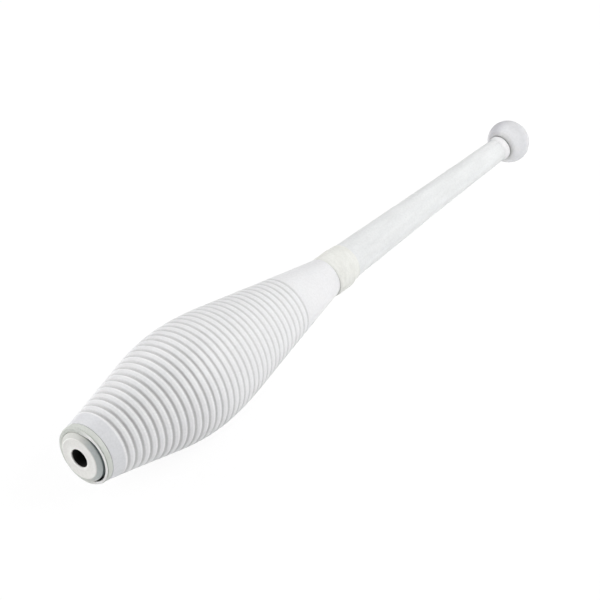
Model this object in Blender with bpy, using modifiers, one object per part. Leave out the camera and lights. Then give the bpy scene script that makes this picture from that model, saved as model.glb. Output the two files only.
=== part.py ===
"""Juggling club with a ribbed hollow body, a wooden core, a wrapped handle and a ball knob.

Run with: blender --background --python part.py

All lengths are metres. A station is a distance along the club, measured from the
flat face of the end cap (station 0) towards the knob. The club lies along +Y with
the end cap at the -Y end, its axis is X = Z = 0, and +Z is up.
"""

import math

import bmesh
import bpy
from mathutils import Matrix

# ---------------------------------------------------------------- overall
CLUB_LENGTH = 0.5182  # end cap face to the flat on the knob
GAP = 0.0003  # clearance left between neighbouring pieces
BODY_SEGMENTS = 32  # facets round the body
TURNED_SEGMENTS = 24  # facets round the smaller turned pieces
SMALL_SEGMENTS = 12  # facets round screws, washers and tacks

# ---------------------------------------------------------------- body shell
# Rib-top outline: (station, radius, slope), joined by cubic curves.
BODY_OUTLINE = (
    (0.0085, 0.02245, 0.20),
    (0.0720, 0.03655, 0.225),
    (0.1080, 0.04070, 0.0),
    (0.1560, 0.03505, -0.19),
    (0.2540, 0.01665, -0.185),
    (0.2606, 0.01555, -0.12),
)
BODY_START = 0.0087  # station of the open end's rim
BODY_END = 0.2795  # station of the neck's end, under the tape
TAPE_SEAT_START = 0.2611  # from here the neck is turned down for the tape
TAPE_SEAT_RADIUS = 0.0149
RIB_COUNT = 32  # ribs, between 33 grooves
FIRST_GROOVE = 0.02095
RIB_PITCH = 0.005962
FIRST_GROOVE_DEPTH = 0.0012
LAST_GROOVE_DEPTH = 0.0007  # the grooves get shallower towards the neck
GROOVE_HALF_WIDTH = 0.0013
SHELL_WALL = 0.0013
RIM_ROUNDING = 0.0003
OPENING_RADIUS = 0.0213  # inside of the open end
OPENING_END = 0.0180
NECK_BORE = 0.0139  # inside of the neck
NECK_BORE_START = 0.2550
COLLAR_STATIONS = (0.0115, 0.0140, 0.0165)
NECK_STATIONS = (0.2180, 0.2240, 0.2340, 0.2440, 0.2510, 0.2540, 0.2575, 0.2606)
INNER_STATIONS = (0.024, 0.050, 0.076, 0.090, 0.108, 0.126, 0.142, 0.160, 0.235)

# ---------------------------------------------------------------- end ring
RING_LIP_STATION = 0.0032  # front of the lip round the cap
RING_OUTER_RADIUS = 0.0221
RING_ROUNDING = 0.0006
RING_BACK_STATION = 0.0084  # back of the flange, against the body's rim
RING_BORE = 0.0202
RING_FLOOR_STATION = 0.0100
RING_FLOOR_THICKNESS = 0.0020
RING_FLOOR_HOLE = 0.0100
RING_END_STATION = 0.0220
RING_END_CHAMFER = 0.0004

# ---------------------------------------------------------------- end cap
CAP_FACE_RADIUS = 0.0155
CAP_EDGE_ROUNDING = 0.0006
CAP_SIDE_RADIUS = 0.0186
CAP_SHOULDER_STATION = 0.0028
CAP_SLOPE_MIDDLE = (0.00154, 0.01773)  # keeps the slope slightly domed
CAP_INNER_CHAMFER = 0.0010
CAP_SKIRT_RADIUS = 0.0166  # inside of the skirt
CAP_PLATE_END = 0.0042  # back of the plate behind the face
CAP_HOLE_RADIUS = 0.0069
CAP_HOLE_ROUNDING = 0.0005
CAP_LIP_THICKNESS = 0.0008  # of the face where it laps over the hub's flange
CAP_POCKET_RADIUS = 0.0123  # pocket that clips over the hub's flange
CAP_POCKET_END = 0.0029
CAP_RETAINER_RADIUS = 0.0100  # inside of the rim behind the flange

# ---------------------------------------------------------------- end hub
HUB_FLANGE_RADIUS = CAP_POCKET_RADIUS - GAP
HUB_FLANGE_START = CAP_LIP_THICKNESS + GAP
HUB_FLANGE_END = CAP_POCKET_END - GAP
HUB_RADIUS = 0.0097
HUB_BORE = CAP_HOLE_RADIUS  # recess that the end screw lies in
HUB_WEB_START = 0.0180
HUB_WEB_END = 0.0220  # back of the web that the screw clamps
HUB_END = 0.0380
HUB_CHAMFER = 0.0010

# ---------------------------------------------------------------- wooden core
DOWEL_RADIUS = 0.0060
DOWEL_START = HUB_WEB_END + GAP
DOWEL_END = 0.5040
DOWEL_CHAMFER = 0.0006

# ---------------------------------------------------------------- handle
# Outside of the wrap: (station, radius, slope), joined by cubic curves.
HANDLE_OUTLINE = (
    (0.2830, 0.01435, -0.018),
    (0.3120, 0.01370, -0.021),
    (0.4000, 0.01125, -0.024),
    (0.4840, 0.00950, -0.012),
    (0.4960, 0.00935, -0.012),
)
HANDLE_STATIONS = (0.2830, 0.3120, 0.3500, 0.4000, 0.4400, 0.4840)
WRAP_START = 0.2835
WRAP_END = 0.4898
WRAP_THICKNESS = 0.0004
FOAM_START = 0.2838
FOAM_END = 0.4894
FOAM_THICKNESS = 0.0010
LAYER_GAP = 0.0002  # clearance between the layers of the handle
TUBE_START = 0.2440
TUBE_END = 0.4965
TUBE_WALL = 0.0013
TUBE_WIDE_RADIUS = 0.0136  # outside of the tube where it fills the neck
TUBE_WIDE_END = 0.2790

# ---------------------------------------------------------------- neck joint
BUSH_START = 0.2620
BUSH_END = 0.2780
BUSH_CHAMFER = 0.0005
TACK_COUNT = 4
TACK_STATION = 0.2700
TACK_PHASE = math.radians(45)
TACK_HEAD_RADIUS = 0.0022
TACK_HEAD_THICKNESS = 0.0004
TACK_HEAD_SEAT = 0.0147  # distance of the head's underside from the axis
TACK_SHANK_RADIUS = 0.0008
TACK_LENGTH = 0.0072
TACK_RECESS_RADIUS = 0.0026
TACK_HOLE_RADIUS = 0.0011
TACK_HOLE_INNER = 0.0050  # the tacks' cutters start here, off the axis
TACK_HOLE_OUTER = 0.0190
# Neck tape: (station, outer radius)
TAPE_OUTLINE = (
    (0.2614, 0.01565),
    (0.2630, 0.01585),
    (0.2700, 0.01595),
    (0.2780, 0.01600),
    (0.2830, 0.01505),
    (0.2860, 0.01490),
)
TAPE_THICKNESS = 0.0004

# ---------------------------------------------------------------- knob
KNOB_CENTRE = 0.5036
KNOB_RADIUS = 0.0172
KNOB_HALF_LENGTH = 0.0158
KNOB_MOUTH = 0.4917
KNOB_MOUTH_RADIUS = 0.0108  # mouth that the handle's flared end runs into
KNOB_MOUTH_END = 0.4930
KNOB_SOCKET_RADIUS = 0.0081  # socket for the tube
KNOB_SOCKET_END = 0.4970
KNOB_WEB_START = DOWEL_END + GAP
KNOB_WEB_END = 0.5090
KNOB_RECESS_RADIUS = 0.0044
KNOB_RECESS_CHAMFER = 0.0003
KNOB_ARC_STEPS = 12
KNOB_TAPE_START = 0.4850
KNOB_TAPE_FLARE_START = 0.4870
KNOB_TAPE_END = 0.4913
KNOB_TAPE_THICKNESS = 0.0003
KNOB_TAPE_FLARE = 0.0004  # how far the tape's end stands out

# ---------------------------------------------------------------- screws
# A screw's seat is the station of its head's underside. Its outward side is the
# side that it is turned from: -1 towards the end cap, 1 towards the knob.
END_SCREW = {
    "seat": 0.0163,
    "outward": -1,
    "head_radius": 0.0044,
    "head_height": 0.0029,
    "thread_radius": 0.0020,
    "thread_depth": 0.0004,
    "pitch": 0.0020,
    "plain": 0.0070,
    "length": 0.0387,
    "tip": 0.0035,
    "recess": 0.0016,
}
KNOB_SCREW = {
    "seat": 0.5106,
    "outward": 1,
    "head_radius": 0.0036,
    "head_height": 0.0025,
    "thread_radius": 0.0017,
    "thread_depth": 0.0003,
    "pitch": 0.0018,
    "plain": 0.0070,
    "length": 0.0276,
    "tip": 0.0030,
    "recess": 0.0014,
}
SCREW_SLOT_WIDTH = 0.0009
SCREW_SLOT_REACH = 1.15  # length of each arm of the cross, in head radii
HEAD_RIM_SHARE = 0.35  # share of a head's height that is its straight rim
HEAD_ARC_STEPS = 4
END_WASHER = {"station": 0.0166, "outer": 0.0061, "inner": 0.0024, "thickness": 0.0011}
KNOB_WASHER = {"station": 0.5093, "outer": 0.0040, "inner": 0.0020, "thickness": 0.0010}
END_SCREW_HOLE = 0.0024  # hole in the end hub's web
KNOB_SCREW_HOLE = 0.0021  # hole in the knob's web
END_PILOT_RADIUS = 0.0023
END_PILOT_END = 0.0570
KNOB_PILOT_RADIUS = 0.0020
KNOB_PILOT_START = 0.4810

# ---------------------------------------------------------------- colours (linear)
WHITE_SHELL = (0.78, 0.79, 0.82)
RING_CREAM = (0.58, 0.62, 0.57)
CAP_WHITE = (0.80, 0.79, 0.78)
HUB_BLACK = (0.012, 0.012, 0.013)
WRAP_WHITE = (0.85, 0.86, 0.85)
TAPE_CREAM = (0.80, 0.80, 0.74)
KNOB_GREY = (0.66, 0.67, 0.72)
FOAM_GREY = (0.55, 0.55, 0.56)
TUBE_WHITE = (0.72, 0.72, 0.70)
BEECH = (0.56, 0.37, 0.20)
ZINC = (0.60, 0.61, 0.62)
STEEL = (0.50, 0.50, 0.51)


# ================================================================ scene helpers
def clear_scene():
    for obj in list(bpy.data.objects):
        bpy.data.objects.remove(obj, do_unlink=True)


def new_collection(name):
    collection = bpy.data.collections.new(name)
    bpy.context.scene.collection.children.link(collection)
    return collection


def make_place():
    """The collections, and the empty that every piece is placed by.

    The empty's +Z runs along the club, and its origin is the middle of the club.
    """
    place = {
        "collection": new_collection("juggling_club"),
        "cutters": new_collection("cutters"),
        "axis": bpy.data.objects.new("club_axis", None),
    }
    place["axis"].empty_display_size = 0.05
    place["axis"].rotation_euler = (-math.pi / 2, 0.0, 0.0)
    place["collection"].objects.link(place["axis"])
    return place


def along(station):
    """Height of a station in the empty's frame."""
    return station - CLUB_LENGTH / 2


def material(name, colour, roughness, metallic=0.0):
    mat = bpy.data.materials.new(name)
    mat.use_nodes = True
    mat.diffuse_color = (*colour, 1.0)
    shader = mat.node_tree.nodes["Principled BSDF"]
    shader.inputs["Base Color"].default_value = (*colour, 1.0)
    shader.inputs["Roughness"].default_value = roughness
    shader.inputs["Metallic"].default_value = metallic
    return mat


# ================================================================ shape helpers
def cubic(outline, station):
    """Radius at a station of an outline given as (station, radius, slope) points."""
    station = min(max(station, outline[0][0]), outline[-1][0])
    for (s0, r0, m0), (s1, r1, m1) in zip(outline, outline[1:]):
        if station <= s1:
            break
    span = s1 - s0
    t = (station - s0) / span
    return (
        r0 * (2 * t**3 - 3 * t**2 + 1)
        + m0 * span * (t**3 - 2 * t**2 + t)
        + r1 * (3 * t**2 - 2 * t**3)
        + m1 * span * (t**3 - t**2)
    )


def runs_upwards(points):
    """True if a closed (station, radius) loop climbs on its outer side."""
    turns = zip(points, points[1:] + points[:1])
    return sum(r0 * s1 - r1 * s0 for (s0, r0), (s1, r1) in turns) > 0


def apply_turn(obj):
    """Make the Screw modifier's result the object's own mesh, shaded smooth."""
    graph = bpy.context.evaluated_depsgraph_get()
    mesh = bpy.data.meshes.new_from_object(obj.evaluated_get(graph))
    profile = obj.data
    obj.modifiers.clear()
    obj.data = mesh
    bpy.data.meshes.remove(profile)
    mesh.name = obj.name
    mesh.shade_smooth()
    mesh.set_sharp_from_angle(angle=math.radians(32))


def turned(name, points, mat, place, station=0.0, segments=TURNED_SEGMENTS, solid=False):
    """A turned piece, from (station, radius) points round its section.

    A hollow piece's section is a closed loop. A solid piece's section is an open
    line with both ends on the axis. The object's origin is on the axis at station.
    """
    points = list(points)
    climbs = points[0][0] < points[-1][0] if solid else runs_upwards(points)
    if climbs:
        points.reverse()
    count = len(points)
    edges = [(i, i + 1) for i in range(count - 1)]
    if not solid:
        edges.append((count - 1, 0))
    mesh = bpy.data.meshes.new(name)
    mesh.from_pydata([(r, 0.0, s - station) for s, r in points], edges, [])
    mesh.materials.append(mat)
    obj = bpy.data.objects.new(name, mesh)
    place["collection"].objects.link(obj)
    screw = obj.modifiers.new("turn", "SCREW")
    screw.axis = "Z"
    screw.steps = segments
    screw.render_steps = segments
    screw.use_merge_vertices = True
    screw.merge_threshold = 0.00001
    screw.use_smooth_shade = True
    apply_turn(obj)
    obj.parent = place["axis"]
    obj.location = (0.0, 0.0, along(station))
    return obj


def sleeve(stations, outer, thickness):
    """Closed section of a sleeve whose outside follows the function outer."""
    outside = [(s, outer(s)) for s in stations]
    return outside + [(s, r - thickness) for s, r in reversed(outside)]


def cutter_object(name, mesh, place, location=(0.0, 0.0, 0.0)):
    obj = bpy.data.objects.new(name, mesh)
    obj.display_type = "WIRE"
    obj.hide_render = True
    place["cutters"].objects.link(obj)
    obj.parent = place["axis"]
    obj.location = location
    return obj


def cut(obj, cutter):
    boolean = obj.modifiers.new(cutter.name, "BOOLEAN")
    boolean.operation = "DIFFERENCE"
    boolean.solver = "EXACT"
    boolean.object = cutter


# ================================================================ body and end
def body_radius(station):
    return cubic(BODY_OUTLINE, station)


def ribbed_outside():
    """Grooves at an even pitch, with the rib tops on the body's outline."""
    points = []
    for index in range(RIB_COUNT + 1):
        groove = FIRST_GROOVE + index * RIB_PITCH
        near = groove - GROOVE_HALF_WIDTH
        far = groove + GROOVE_HALF_WIDTH
        points.append((near, body_radius(near)))
        share = index / RIB_COUNT
        depth = FIRST_GROOVE_DEPTH + share * (LAST_GROOVE_DEPTH - FIRST_GROOVE_DEPTH)
        points.append((groove, body_radius(groove) - depth))
        points.append((far, body_radius(far)))
    return points


def make_body_shell(mat, place):
    rim = body_radius(BODY_START)
    outside = [
        (BODY_START, OPENING_RADIUS),
        (BODY_START, rim - RIM_ROUNDING),
        (BODY_START + RIM_ROUNDING, rim),
    ]
    outside += [(s, body_radius(s)) for s in COLLAR_STATIONS]
    outside += ribbed_outside()
    outside += [(s, body_radius(s)) for s in NECK_STATIONS]
    outside += [(TAPE_SEAT_START, TAPE_SEAT_RADIUS), (BODY_END, TAPE_SEAT_RADIUS)]
    skin = FIRST_GROOVE_DEPTH + SHELL_WALL
    inside = [(OPENING_END, OPENING_RADIUS)]
    inside += [(s, body_radius(s) - skin) for s in INNER_STATIONS]
    inside += [(NECK_BORE_START, NECK_BORE), (BODY_END, NECK_BORE)]
    points = outside + inside[::-1]
    widest = BODY_OUTLINE[2][0]
    return turned("body_shell", points, mat, place, widest, BODY_SEGMENTS)


def rounded_corner(station, radius, rounding, start, steps=3):
    """Points of a quarter round about a centre, from an angle in degrees downwards."""
    points = []
    for step in range(steps + 1):
        angle = math.radians(start - 90 * step / steps)
        points.append((
            station + rounding * math.cos(angle),
            radius + rounding * math.sin(angle),
        ))
    return points


def make_end_ring(mat, place):
    """Bumper ring: a flange on the body's rim, a spigot inside it, and a floor."""
    spigot = OPENING_RADIUS - GAP
    floor_back = RING_FLOOR_STATION + RING_FLOOR_THICKNESS
    crest = RING_OUTER_RADIUS - RING_ROUNDING
    front = RING_LIP_STATION + RING_ROUNDING
    back = RING_BACK_STATION - RING_ROUNDING
    points = [(RING_LIP_STATION, RING_BORE)]
    points += rounded_corner(front, crest, RING_ROUNDING, 180)
    points += rounded_corner(back, crest, RING_ROUNDING, 90)
    points += [
        (RING_BACK_STATION, spigot),
        (RING_END_STATION - RING_END_CHAMFER, spigot),
        (RING_END_STATION, spigot - RING_END_CHAMFER),
        (RING_END_STATION, RING_BORE),
        (floor_back, RING_BORE),
        (floor_back, RING_FLOOR_HOLE),
        (RING_FLOOR_STATION, RING_FLOOR_HOLE),
        (RING_FLOOR_STATION, RING_BORE),
    ]
    return turned("end_ring", points, mat, place, RING_BACK_STATION, BODY_SEGMENTS)


def make_end_cap(mat, place):
    """Cap with a sloped edge and a skirt, clipped over the hub's flange."""
    back = RING_FLOOR_STATION - GAP
    points = [
        (0.0, CAP_HOLE_RADIUS + CAP_HOLE_ROUNDING),
        (0.0, CAP_FACE_RADIUS - CAP_EDGE_ROUNDING),
        (CAP_EDGE_ROUNDING * 0.4, CAP_FACE_RADIUS),
        CAP_SLOPE_MIDDLE,
        (CAP_SHOULDER_STATION, CAP_SIDE_RADIUS),
        (back, CAP_SIDE_RADIUS),
        (back, CAP_SKIRT_RADIUS),
        (CAP_PLATE_END + CAP_INNER_CHAMFER, CAP_SKIRT_RADIUS),
        (CAP_PLATE_END, CAP_SKIRT_RADIUS - CAP_INNER_CHAMFER),
        (CAP_PLATE_END, CAP_RETAINER_RADIUS),
        (CAP_POCKET_END, CAP_RETAINER_RADIUS),
        (CAP_POCKET_END, CAP_POCKET_RADIUS),
        (CAP_LIP_THICKNESS, CAP_POCKET_RADIUS),
        (CAP_LIP_THICKNESS, CAP_HOLE_RADIUS),
        (CAP_HOLE_ROUNDING, CAP_HOLE_RADIUS),
    ]
    return turned("end_cap", points, mat, place)


def make_end_hub(mat, place):
    """Hub that the screw pulls against the dowel's end, and that holds the cap."""
    points = [
        (HUB_FLANGE_START, HUB_BORE),
        (HUB_FLANGE_START, HUB_FLANGE_RADIUS),
        (HUB_FLANGE_END, HUB_FLANGE_RADIUS),
        (HUB_FLANGE_END, HUB_RADIUS),
        (HUB_END - HUB_CHAMFER, HUB_RADIUS),
        (HUB_END, HUB_RADIUS - HUB_CHAMFER),
        (HUB_END, DOWEL_RADIUS + GAP),
        (HUB_WEB_END, DOWEL_RADIUS + GAP),
        (HUB_WEB_END, END_SCREW_HOLE),
        (HUB_WEB_START, END_SCREW_HOLE),
        (HUB_WEB_START, HUB_BORE),
    ]
    return turned("end_hub", points, mat, place, HUB_FLANGE_START)


# ================================================================ core and handle
def handle_radius(station):
    return cubic(HANDLE_OUTLINE, station)


def make_core_dowel(mat, place):
    """Wooden dowel through the whole club, drilled at both ends for the screws."""
    edge = DOWEL_RADIUS - DOWEL_CHAMFER
    points = [
        (END_PILOT_END + END_PILOT_RADIUS, 0.0),
        (END_PILOT_END, END_PILOT_RADIUS),
        (DOWEL_START, END_PILOT_RADIUS),
        (DOWEL_START, edge),
        (DOWEL_START + DOWEL_CHAMFER, DOWEL_RADIUS),
        (DOWEL_END - DOWEL_CHAMFER, DOWEL_RADIUS),
        (DOWEL_END, edge),
        (DOWEL_END, KNOB_PILOT_RADIUS),
        (KNOB_PILOT_START, KNOB_PILOT_RADIUS),
        (KNOB_PILOT_START - KNOB_PILOT_RADIUS, 0.0),
    ]
    points.reverse()
    middle = CLUB_LENGTH / 2
    return turned("core_dowel", points, mat, place, middle, SMALL_SEGMENTS, solid=True)


def make_handle_tube(mat, place):
    """Tapered tube over the dowel, with a wide end that fills the body's neck."""
    skin = WRAP_THICKNESS + FOAM_THICKNESS + 2 * LAYER_GAP

    def outer(station):
        if station <= TUBE_WIDE_END:
            return TUBE_WIDE_RADIUS
        return handle_radius(station) - skin

    stations = [TUBE_START, TUBE_WIDE_END, *HANDLE_STATIONS, TUBE_END]
    points = sleeve(stations, outer, TUBE_WALL)
    return turned("handle_tube", points, mat, place, TUBE_WIDE_END)


def make_handle_padding(mat, place):
    skin = WRAP_THICKNESS + LAYER_GAP
    stations = [FOAM_START, *HANDLE_STATIONS[1:], FOAM_END]
    points = sleeve(stations, lambda s: handle_radius(s) - skin, FOAM_THICKNESS)
    return turned("handle_padding", points, mat, place, FOAM_START)


def make_handle_wrap(mat, place):
    stations = [WRAP_START, *HANDLE_STATIONS[1:], WRAP_END]
    points = sleeve(stations, handle_radius, WRAP_THICKNESS)
    return turned("handle_wrap", points, mat, place, WRAP_START)


def make_knob_tape(mat, place):
    flare_length = KNOB_TAPE_END - KNOB_TAPE_FLARE_START

    def outer(station):
        flared = max(0.0, station - KNOB_TAPE_FLARE_START) / flare_length
        lift = LAYER_GAP + KNOB_TAPE_THICKNESS + KNOB_TAPE_FLARE * flared
        return handle_radius(station) + lift

    stations = (KNOB_TAPE_START, KNOB_TAPE_FLARE_START, KNOB_TAPE_END)
    points = sleeve(stations, outer, KNOB_TAPE_THICKNESS)
    return turned("knob_tape", points, mat, place, KNOB_TAPE_START)


# ================================================================ neck joint
def make_neck_bush(mat, place):
    """Ring that centres the dowel in the tube's wide end and takes the tacks."""
    outer = TUBE_WIDE_RADIUS - TUBE_WALL - GAP
    points = [
        (BUSH_START, DOWEL_RADIUS + GAP),
        (BUSH_START, outer - BUSH_CHAMFER),
        (BUSH_START + BUSH_CHAMFER, outer),
        (BUSH_END - BUSH_CHAMFER, outer),
        (BUSH_END, outer - BUSH_CHAMFER),
        (BUSH_END, DOWEL_RADIUS + GAP),
    ]
    return turned("neck_bush", points, mat, place, TACK_STATION)


def make_neck_tape(mat, place):
    points = list(TAPE_OUTLINE)
    points += [(s, r - TAPE_THICKNESS) for s, r in reversed(TAPE_OUTLINE)]
    return turned("neck_tape", points, mat, place, TAPE_OUTLINE[0][0], BODY_SEGMENTS)


def tack_angles():
    return [TACK_PHASE + math.tau * index / TACK_COUNT for index in range(TACK_COUNT)]


def radial(angle, height):
    """Transform that turns +Z outwards at an angle round the axis, at a height on it."""
    lift = Matrix.Translation((0.0, 0.0, height))
    return lift @ Matrix.Rotation(angle, 4, "Z") @ Matrix.Rotation(math.pi / 2, 4, "Y")


def make_neck_tacks(mat, place):
    """Four alike tacks, driven inwards through the neck under the tape."""
    points = [
        (TACK_HEAD_THICKNESS, 0.0),
        (TACK_HEAD_THICKNESS, TACK_HEAD_RADIUS),
        (0.0, TACK_HEAD_RADIUS),
        (0.0, TACK_SHANK_RADIUS),
        (-TACK_LENGTH + 2 * TACK_SHANK_RADIUS, TACK_SHANK_RADIUS),
        (-TACK_LENGTH, 0.0),
    ]
    first = turned("neck_tack_1", points, mat, place, 0.0, SMALL_SEGMENTS, solid=True)
    for index, angle in enumerate(tack_angles(), start=1):
        tack = first
        if index > 1:
            tack = bpy.data.objects.new("neck_tack_%d" % index, first.data)
            place["collection"].objects.link(tack)
            tack.parent = place["axis"]
        tack.location = (
            TACK_HEAD_SEAT * math.cos(angle),
            TACK_HEAD_SEAT * math.sin(angle),
            along(TACK_STATION),
        )
        tack.rotation_euler = (0.0, math.pi / 2, angle)


def radial_cutter(name, radius, inner, outer, place):
    """One cutter made of a cylinder for each tack, from inner to outer off the axis."""
    form = bmesh.new()
    for angle in tack_angles():
        shift = Matrix.Translation((0.0, 0.0, (inner + outer) / 2))
        bmesh.ops.create_cone(
            form,
            cap_ends=True,
            segments=SMALL_SEGMENTS,
            radius1=radius,
            radius2=radius,
            depth=outer - inner,
            matrix=radial(angle, 0.0) @ shift,
        )
    mesh = bpy.data.meshes.new(name)
    form.to_mesh(mesh)
    form.free()
    return cutter_object(name, mesh, place, (0.0, 0.0, along(TACK_STATION)))


def cut_tack_holes(body, tube, bush, place):
    floor = TACK_HEAD_SEAT - LAYER_GAP
    outside = TACK_HOLE_OUTER
    holes = radial_cutter("tack_holes", TACK_HOLE_RADIUS, TACK_HOLE_INNER, outside, place)
    recesses = radial_cutter("tack_recesses", TACK_RECESS_RADIUS, floor, outside, place)
    cut(body, recesses)
    cut(body, holes)
    cut(tube, holes)
    cut(bush, holes)


# ================================================================ knob
def make_knob(mat, place):
    """Ball knob: a socket for the handle, a bore for the dowel, and a screw recess."""
    start = math.asin((KNOB_MOUTH - KNOB_CENTRE) / KNOB_HALF_LENGTH)
    end = math.asin((CLUB_LENGTH - KNOB_CENTRE) / KNOB_HALF_LENGTH)
    points = [(KNOB_MOUTH, KNOB_MOUTH_RADIUS)]
    for step in range(KNOB_ARC_STEPS + 1):
        angle = start + (end - start) * step / KNOB_ARC_STEPS
        points.append((
            KNOB_CENTRE + KNOB_HALF_LENGTH * math.sin(angle),
            KNOB_RADIUS * math.cos(angle),
        ))
    points += [
        (CLUB_LENGTH, KNOB_RECESS_RADIUS + KNOB_RECESS_CHAMFER),
        (CLUB_LENGTH - KNOB_RECESS_CHAMFER, KNOB_RECESS_RADIUS),
        (KNOB_WEB_END, KNOB_RECESS_RADIUS),
        (KNOB_WEB_END, KNOB_SCREW_HOLE),
        (KNOB_WEB_START, KNOB_SCREW_HOLE),
        (KNOB_WEB_START, DOWEL_RADIUS + GAP),
        (KNOB_SOCKET_END, DOWEL_RADIUS + GAP),
        (KNOB_SOCKET_END, KNOB_SOCKET_RADIUS),
        (KNOB_MOUTH_END, KNOB_SOCKET_RADIUS),
        (KNOB_MOUTH_END, KNOB_MOUTH_RADIUS),
    ]
    return turned("knob", points, mat, place, KNOB_CENTRE)


# ================================================================ fasteners
def make_washer(name, size, mat, place):
    near = size["station"]
    far = near + size["thickness"]
    points = [
        (near, size["inner"]),
        (near, size["outer"]),
        (far, size["outer"]),
        (far, size["inner"]),
    ]
    return turned(name, points, mat, place, near, SMALL_SEGMENTS)


def screw_section(size):
    """Half section of a screw with its head's underside at 0 and its head upwards."""
    points = []
    for step in range(HEAD_ARC_STEPS + 1):
        angle = math.radians(90) * step / HEAD_ARC_STEPS
        points.append((
            size["head_height"] * (HEAD_RIM_SHARE + (1 - HEAD_RIM_SHARE) * math.cos(angle)),
            size["head_radius"] * math.sin(angle),
        ))
    points.append((0.0, size["head_radius"]))
    root = size["thread_radius"] - size["thread_depth"]
    points.append((0.0, root))
    points.append((-size["plain"] + size["pitch"] / 2, root))
    crest = -size["plain"]
    while crest > -size["length"] + size["tip"] + size["pitch"] / 2:
        points.append((crest, size["thread_radius"]))
        points.append((crest - size["pitch"] / 2, root))
        crest -= size["pitch"]
    points.append((-size["length"] + size["tip"], root))
    points.append((-size["length"], 0.0))
    return points


def slot_cutter(name, size, turn, place):
    """One arm of the cross in a screw's head."""
    top = size["head_height"]
    form = bmesh.new()
    reach = SCREW_SLOT_REACH * size["head_radius"]
    arm = Matrix.Diagonal((reach, SCREW_SLOT_WIDTH, 2 * size["recess"], 1.0))
    bmesh.ops.create_cube(form, size=1.0, matrix=Matrix.Translation((0.0, 0.0, top)) @ arm)
    mesh = bpy.data.meshes.new(name)
    form.to_mesh(mesh)
    form.free()
    obj = cutter_object(name, mesh, place, (0.0, 0.0, along(size["seat"])))
    tilt = math.pi if size["outward"] < 0 else 0.0
    obj.rotation_euler = (tilt, 0.0, turn)
    return obj


def make_screw(name, size, mat, place):
    """Pan-head wood screw. Its origin is on its axis, under its head."""
    screw = turned(name, screw_section(size), mat, place, 0.0, SMALL_SEGMENTS, solid=True)
    screw.location = (0.0, 0.0, along(size["seat"]))
    if size["outward"] < 0:
        screw.rotation_euler = (math.pi, 0.0, 0.0)
    for arm, turn in enumerate((0.0, math.pi / 2), start=1):
        cut(screw, slot_cutter("%s_slot_%d" % (name, arm), size, turn, place))
    return screw


# ================================================================ materials and build
def make_materials():
    return {
        "shell": material("ribbed_white_polyethylene", WHITE_SHELL, 0.38),
        "ring": material("cream_ring_plastic", RING_CREAM, 0.45),
        "cap": material("white_cap_plastic", CAP_WHITE, 0.42),
        "hub": material("black_hub_plastic", HUB_BLACK, 0.50),
        "wrap": material("white_wrap_film", WRAP_WHITE, 0.34),
        "tape": material("cream_tape", TAPE_CREAM, 0.55),
        "end_tape": material("white_tape", WRAP_WHITE, 0.50),
        "knob": material("grey_white_knob_plastic", KNOB_GREY, 0.40),
        "foam": material("grip_foam", FOAM_GREY, 0.90),
        "tube": material("white_tube_plastic", TUBE_WHITE, 0.45),
        "wood": material("beech_wood", BEECH, 0.65),
        "bush": material("neck_bush_wood", BEECH, 0.70),
        "zinc": material("zinc_plated_steel", ZINC, 0.35, 1.0),
        "steel": material("bare_steel", STEEL, 0.40, 1.0),
    }


def build():
    clear_scene()
    place = make_place()
    mats = make_materials()
    body = make_body_shell(mats["shell"], place)
    make_end_ring(mats["ring"], place)
    make_end_cap(mats["cap"], place)
    make_end_hub(mats["hub"], place)
    make_core_dowel(mats["wood"], place)
    tube = make_handle_tube(mats["tube"], place)
    make_handle_padding(mats["foam"], place)
    make_handle_wrap(mats["wrap"], place)
    bush = make_neck_bush(mats["bush"], place)
    make_neck_tacks(mats["steel"], place)
    cut_tack_holes(body, tube, bush, place)
    make_neck_tape(mats["tape"], place)
    make_knob_tape(mats["end_tape"], place)
    make_knob(mats["knob"], place)
    make_washer("end_washer", END_WASHER, mats["zinc"], place)
    make_screw("end_screw", END_SCREW, mats["zinc"], place)
    make_washer("knob_washer", KNOB_WASHER, mats["zinc"], place)
    make_screw("knob_screw", KNOB_SCREW, mats["zinc"], place)


build()
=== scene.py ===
"""Looks for the juggling club: fine surfaces, materials, studio and camera.

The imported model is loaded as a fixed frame. Every visible piece here stands for a
CAD node, in metres, in the same frame: the club lies along +Y, with its end cap at
the -Y end. A station is a distance in millimetres from the end cap's face.
"""

import math

import bmesh
import bpy
from mathutils import Matrix, Vector, noise


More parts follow.
